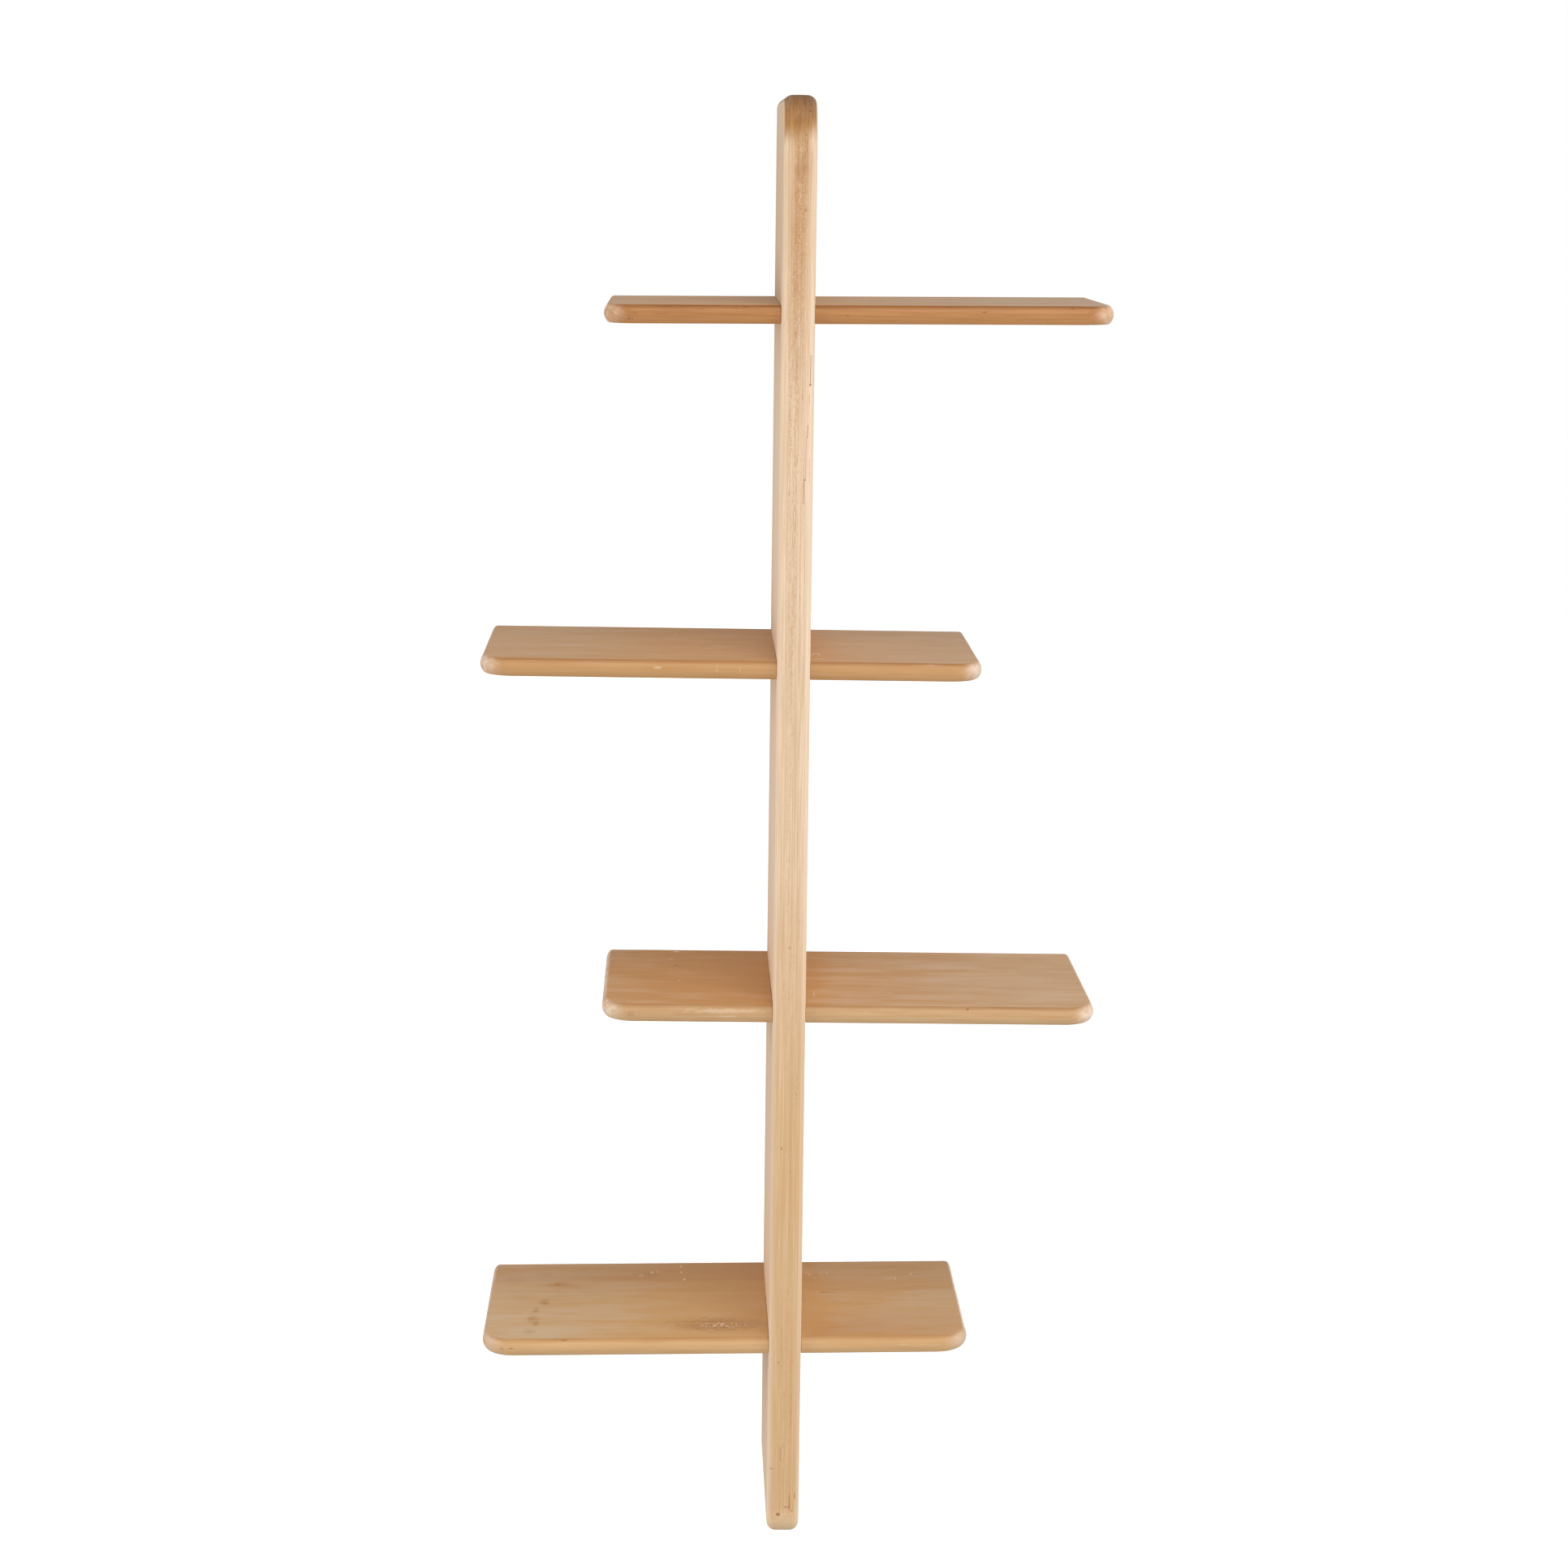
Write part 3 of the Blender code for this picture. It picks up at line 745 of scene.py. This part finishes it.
# %% Cutting out and rounding a board
def smooth_step(low, high, value):
    share = min(1.0, max(0.0, (value - low) / (high - low)))
    return share * share * (3.0 - 2.0 * share)


def round_edges(bm, edges, radius, segments):
    bmesh.ops.bevel(
        bm,
        geom=edges,
        offset=radius,
        offset_type="OFFSET",
        affect="EDGES",
        segments=segments,
        profile=0.5,
        material=-1,
    )


def pull(bm, faces, move):
    """Extrudes flat faces into a solid."""
    risen = bmesh.ops.extrude_face_region(bm, geom=faces)["geom"]
    moved = [item for item in risen if isinstance(item, bmesh.types.BMVert)]
    bmesh.ops.translate(bm, verts=moved, vec=move)
    bmesh.ops.recalc_face_normals(bm, faces=bm.faces)


def slice_board(bm, place, normal):
    everything = bm.verts[:] + bm.edges[:] + bm.faces[:]
    bmesh.ops.bisect_plane(bm, geom=everything, dist=TINY, plane_co=place, plane_no=normal)


def outward(corners, middle, point):
    """The direction away from a board at a point of its outer edge, or None elsewhere."""
    x, y, radius = min(corners, key=lambda c: (c[0] - point.x) ** 2 + (c[1] - point.y) ** 2)
    towards = (math.copysign(1.0, x - middle[0]), math.copysign(1.0, y - middle[1]))
    centre = (x - towards[0] * radius, y - towards[1] * radius)
    offset = Vector((
        towards[0] * max(0.0, (point.x - centre[0]) * towards[0]),
        towards[1] * max(0.0, (point.y - centre[1]) * towards[1]),
        0.0,
    ))
    return offset.normalized() if offset.length > radius * OUTER_SHARE else None


def within(joint, point):
    low_a, high_a, low_b, high_b = joint[:4]
    return low_a - TINY <= point.x <= high_a + TINY and low_b - TINY <= point.y <= high_b + TINY


def make_board(outline, thickness, corners, joints, layers, depth, slices=()):
    """A board from its flat outline.

    corners holds (x, y, radius) of the outline's rounded corners. joints holds
    (x from, x to, y from, y to, slant) of each cut, whose walls slant by that much
    for every unit of thickness, so that they fit a neighbour that leans. layers holds
    the heights at which the edge is sliced, slices holds (point, normal) of cuts across
    the board, and depth(point) says how far the edge is drawn in.
    """
    bm = bmesh.new()
    face = bm.faces.new([bm.verts.new((x, y, -thickness / 2)) for x, y in outline])
    pull(bm, [face], (0.0, 0.0, thickness))
    for x, y, radius in corners:
        corner_edges = [
            e for e in bm.edges
            if all(abs(p.co.x - x) < TINY and abs(p.co.y - y) < TINY for p in e.verts)
        ]
        round_edges(bm, corner_edges, radius, CORNER_SEGMENTS)
    for place, normal in slices:
        slice_board(bm, place, normal)
    for height in layers:
        slice_board(bm, (0.0, 0.0, height), (0.0, 0.0, 1.0))
    middle = (
        (min(x for x, y in outline) + max(x for x, y in outline)) / 2,
        (min(y for x, y in outline) + max(y for x, y in outline)) / 2,
    )
    moves = []
    for vert in bm.verts:
        direction = outward(corners, middle, vert.co)
        if direction:
            moves.append((vert, direction * -depth(vert.co)))
    sawn = {e for e in bm.edges for j in joints if all(within(j, p.co) for p in e.verts)}
    rims = {
        e for e in bm.edges
        if all(abs(abs(p.co.z) - thickness / 2) < TINY for p in e.verts)
        and len({round(f.normal.z) for f in e.link_faces}) > 1
    }
    for joint in joints:
        for vert in bm.verts:
            if within(joint, vert.co):
                vert.co.x += vert.co.z * joint[4]
    for vert, move in moves:
        vert.co += move
    return bm, list(rims - sawn)


def bare_object(name, bm):
    """Turns a bmesh into an object, and uses it up."""
    mesh = bpy.data.meshes.new(name)
    bm.to_mesh(mesh)
    bm.free()
    item = bpy.data.objects.new(name, mesh)
    bpy.context.scene.collection.objects.link(item)
    return item


def add_piece(name, bm):
    """Turns a bmesh into a smooth-shaded object with even shading."""
    bmesh.ops.recalc_face_normals(bm, faces=bm.faces)
    piece = bare_object(name, bm)
    piece.data.shade_smooth()
    piece.data.set_sharp_from_angle(angle=CREASE)
    weighted = piece.modifiers.new("even_shading", "WEIGHTED_NORMAL")
    weighted.keep_sharp = True
    print(name, "faces:", len(piece.data.polygons))
    return piece


def dress(piece, slot, material, *nodes):
    piece.data.materials.append(material)
    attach(piece, "root")
    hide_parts(*nodes)


# %% [markdown]
# ## Shelves
#
# Each shelf is notched from its front edge, so that its back half runs through the
# upright. The shelves lean by a fraction of a degree, as hand-fitted boards do.

# %% Make the shelves
# Each row: the label, its place counted from below, the side it reaches to, and its lean.
SHELVES = (
    ("top", 3, 1, 0.40),
    ("upper", 2, -1, -0.30),
    ("lower", 1, 1, -0.25),
    ("bottom", 0, -1, 0.65),
)
FIRST_SEED = 20.0
SEED_STEP = 9.0


def bullnose(point):
    return BULLNOSE_RADIUS - math.sqrt(BULLNOSE_RADIUS ** 2 - point.z ** 2)


def bullnose_layers():
    """Heights that divide the bullnose's arc evenly."""
    reach = math.asin(SHELF_THICKNESS / 2 / BULLNOSE_RADIUS)
    steps = range(1 - EDGE_LAYERS, EDGE_LAYERS)
    return [BULLNOSE_RADIUS * math.sin(reach * step / EDGE_LAYERS) for step in steps]


def make_shelf(label, steps, side, lean):
    seat = LOWEST_SHELF + steps * SHELF_SPACING - SHELF_THICKNESS / 2
    left = side * SHELF_REACH - SHELF_LENGTH / 2
    right = left + SHELF_LENGTH
    front = -SHELF_DEPTH
    half = UPRIGHT_THICKNESS / 2 + CLEARANCE
    inner = -(SLOT_DEPTH - CLEARANCE)
    outline = (
        (left, front), (-half, front), (-half, inner), (half, inner),
        (half, front), (right, front), (right, 0.0), (left, 0.0),
    )
    corners = [(x, front, SHELF_FRONT_RADIUS) for x in (left, right)]
    corners += [(x, 0.0, SHELF_BACK_RADIUS) for x in (left, right)]
    notch = (-half, half, front, inner, math.tan(math.radians(lean)))
    bm, rims = make_board(outline, SHELF_THICKNESS, corners, [notch], bullnose_layers(), bullnose)
    round_edges(bm, rims, BULLNOSE_EASE, 2)
    turn = Matrix.Translation((0.0, 0.0, seat)) @ Matrix.Rotation(-math.radians(lean), 4, "Y")
    bmesh.ops.transform(bm, matrix=turn, verts=bm.verts)
    board = add_piece(f"{label}_board", bm)
    seed = FIRST_SEED + SEED_STEP * steps
    dress(board, "shelf_wood", shelf_wood(label, seat, lean, seed), f"shelf_{label}")


for row in SHELVES:
    make_shelf(*row)

# %% [markdown]
# ## The upright
#
# The upright is the same kind of board, stood on end and slotted from the back, so that
# its front runs unbroken from foot to top. Two keyhole plates are let into its back
# edge. Each has a recess of its own outline, a deeper pocket for the head of the wall
# screw, and two screw holes.

# %% Make the upright
HALF_HEIGHT = UPRIGHT_HEIGHT / 2
ARRIS_CHANGE_TOP = (HALF_HEIGHT - 0.050, HALF_HEIGHT - 0.016)
ARRIS_CHANGE_FOOT = (-HALF_HEIGHT + 0.045, -HALF_HEIGHT + 0.012)


def arris(point):
    """How far the upright's edge is drawn in at a point of it."""
    to_top = smooth_step(*ARRIS_CHANGE_TOP, point.x)
    to_foot = smooth_step(*ARRIS_CHANGE_FOOT, point.x)
    radius = ARRIS_RADIUS
    radius += (TOP_ARRIS_RADIUS - ARRIS_RADIUS) * to_top
    radius += (FOOT_ARRIS_RADIUS - ARRIS_RADIUS) * to_foot
    past = max(0.0, abs(point.z) - (UPRIGHT_THICKNESS / 2 - radius))
    dome = CROWN_DOME * to_top * (2.0 * point.z / UPRIGHT_THICKNESS) ** 2
    return radius - math.sqrt(max(0.0, radius ** 2 - past ** 2)) + dome


def arris_layers():
    """Heights that divide the crown's dome and the fullest arris evenly, on both sides."""
    start = UPRIGHT_THICKNESS / 2 - FOOT_ARRIS_RADIUS
    turns = [math.pi / 2 * step / EDGE_LAYERS for step in range(EDGE_LAYERS)]
    heights = [start * step / DOME_LAYERS for step in range(1, DOME_LAYERS)]
    heights += [start + FOOT_ARRIS_RADIUS * math.sin(turn) for turn in turns]
    return [0.0] + [sign * height for sign in (-1, 1) for height in heights]


def arris_slices():
    """Cuts across the board where its arrises change, so that they can."""
    cuts = []
    for low, high in (ARRIS_CHANGE_TOP, ARRIS_CHANGE_FOOT):
        for step in range(ARRIS_STEPS + 1):
            cuts.append(((low + (high - low) * step / ARRIS_STEPS, 0.0, 0.0), (1.0, 0.0, 0.0)))
    return cuts


def make_upright():
    slot = SHELF_THICKNESS / 2 + CLEARANCE
    outline = [(-HALF_HEIGHT, -UPRIGHT_DEPTH), (HALF_HEIGHT, -UPRIGHT_DEPTH), (HALF_HEIGHT, 0.0)]
    joints = []
    for _, steps, _, lean in SHELVES:
        seat = LOWEST_SHELF + steps * SHELF_SPACING - SHELF_THICKNESS / 2
        low, high = seat - slot, seat + slot
        outline += [(high, 0.0), (high, -SLOT_DEPTH), (low, -SLOT_DEPTH), (low, 0.0)]
        joints.append((low, high, -SLOT_DEPTH, 0.0, -math.tan(math.radians(lean))))
    outline.append((-HALF_HEIGHT, 0.0))
    corners = (
        (HALF_HEIGHT, -UPRIGHT_DEPTH, UPRIGHT_TOP_RADIUS),
        (-HALF_HEIGHT, -UPRIGHT_DEPTH, UPRIGHT_FOOT_RADIUS),
        (HALF_HEIGHT, 0.0, UPRIGHT_BACK_RADIUS),
        (-HALF_HEIGHT, 0.0, UPRIGHT_BACK_RADIUS),
    )
    bm, _ = make_board(
        outline, UPRIGHT_THICKNESS, corners, joints, arris_layers(), arris, arris_slices()
    )
    bmesh.ops.transform(bm, matrix=Matrix.Rotation(-math.pi / 2, 4, "Y"), verts=bm.verts)
    return bm


# %% [markdown]
# ## Housings for the hangers
#
# A plate that lies on the wood would hold the shelf off the wall, so each is let in. A
# router cuts the recess in the plate's outline, then the deeper pocket in which the wall
# screw's head slides up, and two small holes take the plate's own screws. Here they are
# cut with solids of the same shapes, each made by pulling a flat outline to its depth or
# by turning a profile.

# %% Sizes of the hangers
HANGER_HEIGHTS = (("top", 0.518), ("foot", -0.520))
PLATE_SIZE = (0.014, 0.044)
PLATE_FACE = -0.0004
PLATE_BACK = -0.0024
RECESS_DEPTH = 0.0027
KEYHOLE_DROP = 0.004
KEYHOLE_RADIUS = 0.0046
KEYHOLE_SLOT = (0.0048, 0.0144, 0.0008)
POCKET_SIZE = (0.0106, 0.0202, 0.0008)
POCKET_DEPTH = 0.0117
SCREW_SPREAD = 0.016
SCREW_FACE = -0.0005
SCREW_HEAD = 0.0029
SCREW_SHANK = 0.0015
SCREW_LENGTH = 0.016
SCREW_POINT = 0.004
PROUD = 0.001
OVERLAP = 0.0005
ROUND_STEPS = 40


# %% Solids that cut
def bar(width, length, near, far, height):
    """A solid with round ends that stands along Z, from Y = near to Y = far."""
    bm = bmesh.new()
    half_step = Matrix.Rotation(math.pi / ROUND_STEPS, 4, "Z")
    standing = Matrix.Rotation(math.pi / 2, 4, "X") @ half_step
    bmesh.ops.create_circle(bm, cap_ends=True, radius=width / 2, segments=ROUND_STEPS, matrix=standing)
    for vert in bm.verts:
        vert.co.z += math.copysign((length - width) / 2, vert.co.z) + height
        vert.co.y = near
    pull(bm, bm.faces[:], (0.0, far - near, 0.0))
    return bm


def turned(profile, height):
    """A solid turned about an axis along Y. The profile holds (radius, y) pairs."""
    bm = bmesh.new()
    points = [bm.verts.new((radius, y, height)) for radius, y in profile]
    edges = [bm.edges.new(pair) for pair in zip(points, points[1:])]
    bmesh.ops.spin(
        bm,
        geom=points + edges,
        cent=(0.0, 0.0, height),
        axis=(0.0, 1.0, 0.0),
        angle=2.0 * math.pi,
        steps=ROUND_STEPS,
        use_merge=True,
    )
    bmesh.ops.remove_doubles(bm, verts=bm.verts, dist=TINY)
    bmesh.ops.recalc_face_normals(bm, faces=bm.faces)
    return bm


def screw_profile(gap=0.0, face=SCREW_FACE):
    """Half the outline of a countersunk screw, with a gap round it if it is a hole."""
    head, shank = SCREW_HEAD + gap, SCREW_SHANK + gap
    tip = SCREW_FACE - SCREW_LENGTH - gap
    profile = [(0.0, face), (head, face)]
    if face > SCREW_FACE:
        profile.append((head, SCREW_FACE))
    profile.append((shank, SCREW_FACE - (head - shank)))
    profile += [(shank, tip + SCREW_POINT), (0.0, tip)]
    return profile


def carve(bm, cutters):
    """Cuts the cutters out of a solid, uses them up and gives back the new solid."""
    block = bare_object("block", bm)
    tools = [bare_object("tool", cutter) for cutter in cutters]
    for tool in tools:
        cut = block.modifiers.new("cut", "BOOLEAN")
        cut.operation = "DIFFERENCE"
        cut.solver = "EXACT"
        cut.object = tool
    finished = block.evaluated_get(bpy.context.evaluated_depsgraph_get())
    carved = bmesh.new()
    carved.from_mesh(finished.to_mesh())
    finished.to_mesh_clear()
    for item in [block] + tools:
        mesh = item.data
        bpy.data.objects.remove(item)
        bpy.data.meshes.remove(mesh)
    return carved


# %% Cut the housings
def housings():
    cutters = []
    for _, height in HANGER_HEIGHTS:
        wide, long = PLATE_SIZE
        room = 2 * CLEARANCE
        cutters.append(bar(wide + room, long + room, PROUD, -RECESS_DEPTH, height))
        wide, long, shift = POCKET_SIZE
        cutters.append(bar(wide, long, OVERLAP - RECESS_DEPTH, -POCKET_DEPTH, height + shift))
        for sign in (1, -1):
            cutters.append(turned(screw_profile(CLEARANCE), height + sign * SCREW_SPREAD))
    return cutters


upright = add_piece("upright_board", carve(make_upright(), housings()))
dress(upright, "upright_wood", upright_wood(), "upright")

# %% [markdown]
# ## Hanger plates and screws
#
# The plates are stamped from zinc-plated steel: a keyhole, two countersunk holes, and a
# face edge that the stamping has rounded. Plating is bright but not even, so soft clouds
# change its tone and its gloss. The screws are turned, with a cross pressed into the head.

# %% Zinc
ZINC_LIGHT = colour(206, 208, 210)
ZINC_DARK = colour(158, 160, 166)
SCREW_LIGHT = colour(214, 206, 190)
SCREW_DARK = colour(150, 144, 134)


def plated_metal(name, light, dark):
    material, shader, place = new_material(name)
    clouds = place.noise((260.0, 260.0, 260.0), 3.0, 3.0, 0.6)
    scratches = place.noise((2400.0, 900.0, 300.0), 5.0, 2.0, 0.6)
    feed(shader, "Base Color", (clouds * 0.7 + scratches * 0.3).between(0.3, 0.7).mix(light, dark))
    feed(shader, "Roughness", clouds.between(0.3, 0.7) * 0.16 + scratches * 0.12 + 0.26)
    bump = place.node("ShaderNodeBump", None, {"Height": scratches, "Strength": 0.15, "Distance": 0.0001})
    feed(shader, "Normal", bump)
    shader.inputs["Metallic"].default_value = 1.0
    return material


plate_finish = plated_metal("zinc_plate", ZINC_LIGHT, ZINC_DARK)
screw_finish = plated_metal("zinc_screw", SCREW_LIGHT, SCREW_DARK)


# %% Plates and screws
KEYHOLE_DEPTH = 0.004
RIM_ANGLE = 0.5
RIM_EASE = 0.00018
CROSS_LENGTH = 0.0030
CROSS_WIDTH = 0.0007
CROSS_DEPTH = 0.0013
CROSS_TAPER = 0.45


def make_plate(label, height):
    wide, long, shift = KEYHOLE_SLOT
    round_hole = 2 * KEYHOLE_RADIUS
    cutters = [
        bar(round_hole, round_hole, PROUD, -KEYHOLE_DEPTH, height - KEYHOLE_DROP),
        bar(wide, long, PROUD, -KEYHOLE_DEPTH, height + shift),
    ]
    for sign in (1, -1):
        cutters.append(turned(screw_profile(CLEARANCE, PROUD), height + sign * SCREW_SPREAD))
    bm = carve(bar(*PLATE_SIZE, PLATE_FACE, PLATE_BACK, height), cutters)
    bmesh.ops.remove_doubles(bm, verts=bm.verts, dist=TINY)
    face_rims = [
        e for e in bm.edges
        if all(abs(p.co.y - PLATE_FACE) < TINY for p in e.verts)
        and len(e.link_faces) == 2 and e.calc_face_angle() > RIM_ANGLE
    ]
    round_edges(bm, face_rims, RIM_EASE, 2)
    plate = add_piece(f"{label}_plate", bm)
    dress(plate, "plate_metal", plate_finish, f"hanger_plate_{label}")


def cross(height):
    """Two crossing wedges, as the driver's tip presses them into a screw head."""
    wedges = []
    for wide, tall in ((CROSS_LENGTH, CROSS_WIDTH), (CROSS_WIDTH, CROSS_LENGTH)):
        bm = bmesh.new()
        bmesh.ops.create_cube(bm, size=1.0)
        for vert in bm.verts:
            deep = vert.co.y < 0
            narrow = CROSS_TAPER if deep else 1.0
            vert.co.x *= wide * narrow
            vert.co.z = vert.co.z * tall * narrow + height
            vert.co.y = SCREW_FACE - CROSS_DEPTH if deep else SCREW_FACE + OVERLAP
        wedges.append(bm)
    return wedges


def make_screw(label, place, height):
    bm = carve(turned(screw_profile(), height), cross(height))
    screw = add_piece(f"{label}_{place}_screw", bm)
    dress(screw, "screw_metal", screw_finish, f"screw_{label}_{place}")


for label, height in HANGER_HEIGHTS:
    make_plate(label, height)
    for place, sign in (("upper", 1), ("lower", -1)):
        make_screw(label, place, height + sign * SCREW_SPREAD)

# %% [markdown]
# ## Floor and light
#
# The shelf hangs in a white room, its foot almost two metres above a white floor, so that
# it can be looked at from below too. The room lights it evenly, at half strength. Round
# lamps left and right, at the height of the shelf, catch the arrises and leave the rims
# above and below darker. A larger one, high in front, lights the upper faces. A weak one,
# low in front, lifts the undersides, and one behind lights the back.

# %% Floor
FLOOR_LEVEL = -2.4
FLOOR_SIZE = 40.0
FLOOR_WHITE = 0.9
FLOOR_GLOW = 0.7


def make_floor():
    """A sheet that glows a little, so that it is white without lighting the shelf."""
    bm = bmesh.new()
    bmesh.ops.create_grid(bm, x_segments=1, y_segments=1, size=FLOOR_SIZE / 2)
    bmesh.ops.translate(bm, verts=bm.verts, vec=(0.0, 0.0, FLOOR_LEVEL))
    sheet = bare_object("floor", bm)
    material, shader, _ = new_material("floor_white")
    shader.inputs["Base Color"].default_value = (FLOOR_WHITE, FLOOR_WHITE, FLOOR_WHITE, 1.0)
    shader.inputs["Roughness"].default_value = 0.9
    shader.inputs["Emission Color"].default_value = (1.0, 1.0, 1.0, 1.0)
    shader.inputs["Emission Strength"].default_value = FLOOR_GLOW
    sheet.data.materials.append(material)
    sheet.visible_diffuse = False
    sheet.visible_glossy = False


make_floor()
print("floor at:", FLOOR_LEVEL)

# %% Room light and lamps
ROOM_LIGHT = 0.50
LAMP_AIM = Vector((0.0, -0.1, 0.0))
# Each row: the name, the place, the width and the power in watts.
LAMPS = (
    ("left_lamp", Vector((-3.0, -1.2, 0.2)), 1.6, 40.0),
    ("right_lamp", Vector((2.9, -1.5, 0.3)), 1.6, 36.0),
    ("high_lamp", Vector((0.5, -1.9, 2.4)), 2.2, 40.0),
    ("low_lamp", Vector((0.2, -2.3, -1.0)), 1.2, 7.0),
    ("back_lamp", Vector((0.6, 2.6, -1.0)), 0.8, 14.0),
)


def light_room(strength):
    """White where the camera looks past the object, and a softer white as light."""
    world = bpy.data.worlds.new("room")
    world.use_nodes = True
    tree = world.node_tree
    background = tree.nodes["Background"]
    background.inputs["Color"].default_value = (1.0, 1.0, 1.0, 1.0)
    path = tree.nodes.new("ShaderNodeLightPath")
    seen = Strand(tree, path.outputs["Is Camera Ray"])
    level = seen * (1.0 - strength) + strength
    tree.links.new(level.socket, background.inputs["Strength"])
    bpy.context.scene.world = world


def add_lamp(name, place, size, power):
    lamp = bpy.data.lights.new(name, "AREA")
    lamp.shape = "DISK"
    lamp.size = size
    lamp.energy = power
    item = bpy.data.objects.new(name, lamp)
    turn = (LAMP_AIM - place).to_track_quat("-Z", "Y").to_matrix().to_4x4()
    item.matrix_world = Matrix.Translation(place) @ turn
    bpy.context.scene.collection.objects.link(item)


light_room(ROOM_LIGHT)
for row in LAMPS:
    add_lamp(*row)
print("lamps:", len(LAMPS))
bpy.context.scene.view_settings.view_transform = "Standard"
